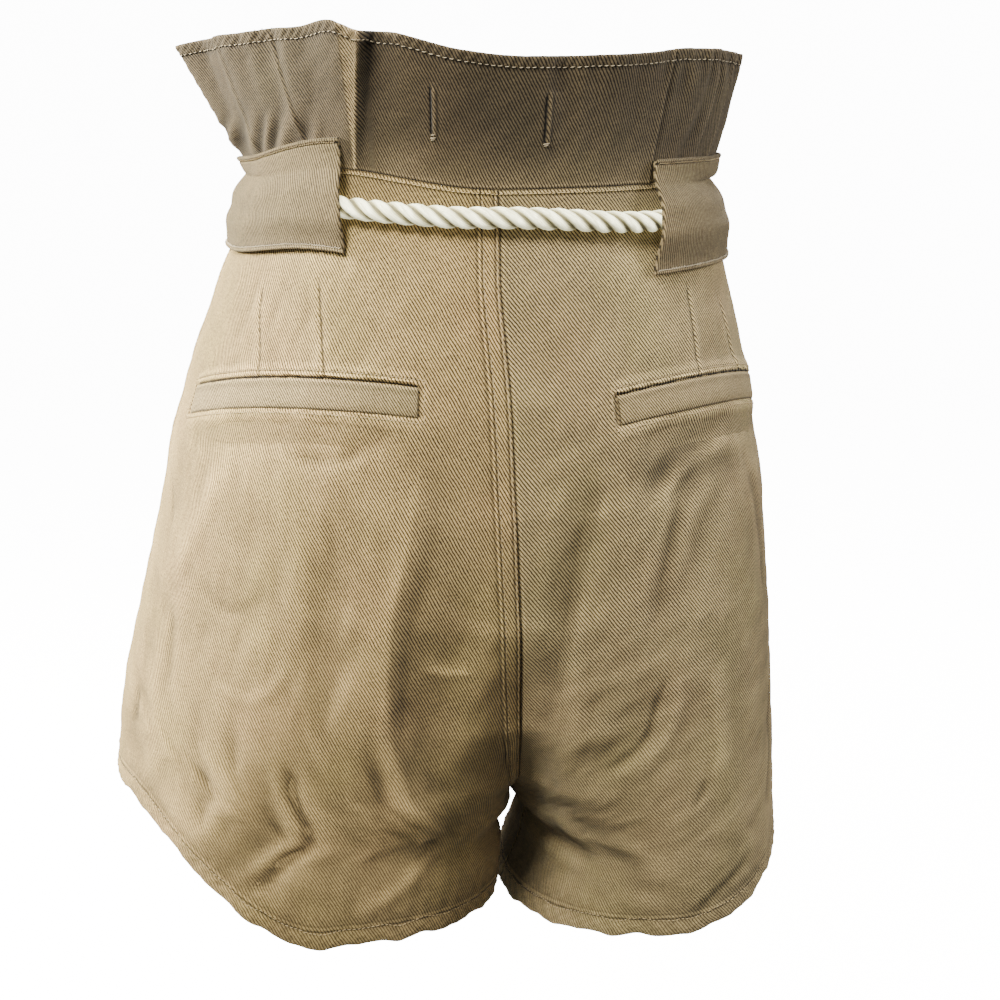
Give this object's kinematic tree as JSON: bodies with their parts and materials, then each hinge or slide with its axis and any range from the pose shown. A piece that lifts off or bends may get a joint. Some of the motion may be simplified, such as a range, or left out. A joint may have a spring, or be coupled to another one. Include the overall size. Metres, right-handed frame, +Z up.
{
  "type": "paperbag waist shorts",
  "caption": "High-waist cotton twill shorts with a standing paperbag frill, wide belt carriers, a twisted rope belt, welt back pockets and flared short legs.",
  "frame": {"origin": "middle of the waist seam, where the wearer's waist holds the garment up", "axes": "+Z up the body, +Y out of the back, +X to the wearer's left"},
  "size_m": [0.355, 0.2414, 0.4667],
  "materials": {
    "khaki_twill": "matt cotton twill",
    "khaki_twill_frill": "matt cotton twill, doubled",
    "cream_cotton_rope": "matt twisted cotton"
  },
  "bodies": {
    "root": {"back_left": "khaki_twill", "back_right": "khaki_twill", "front_left": "khaki_twill", "front_right": "khaki_twill", "frill_back": "khaki_twill_frill", "frill_front_left": "khaki_twill_frill", "frill_front_right": "khaki_twill_frill", "belt_loop_left": "khaki_twill", "belt_loop_right": "khaki_twill", "rope_belt": "cream_cotton_rope", "welt_left": "khaki_twill", "welt_right": "khaki_twill", "fly_facing": "khaki_twill"}
  },
  "joints": []
}
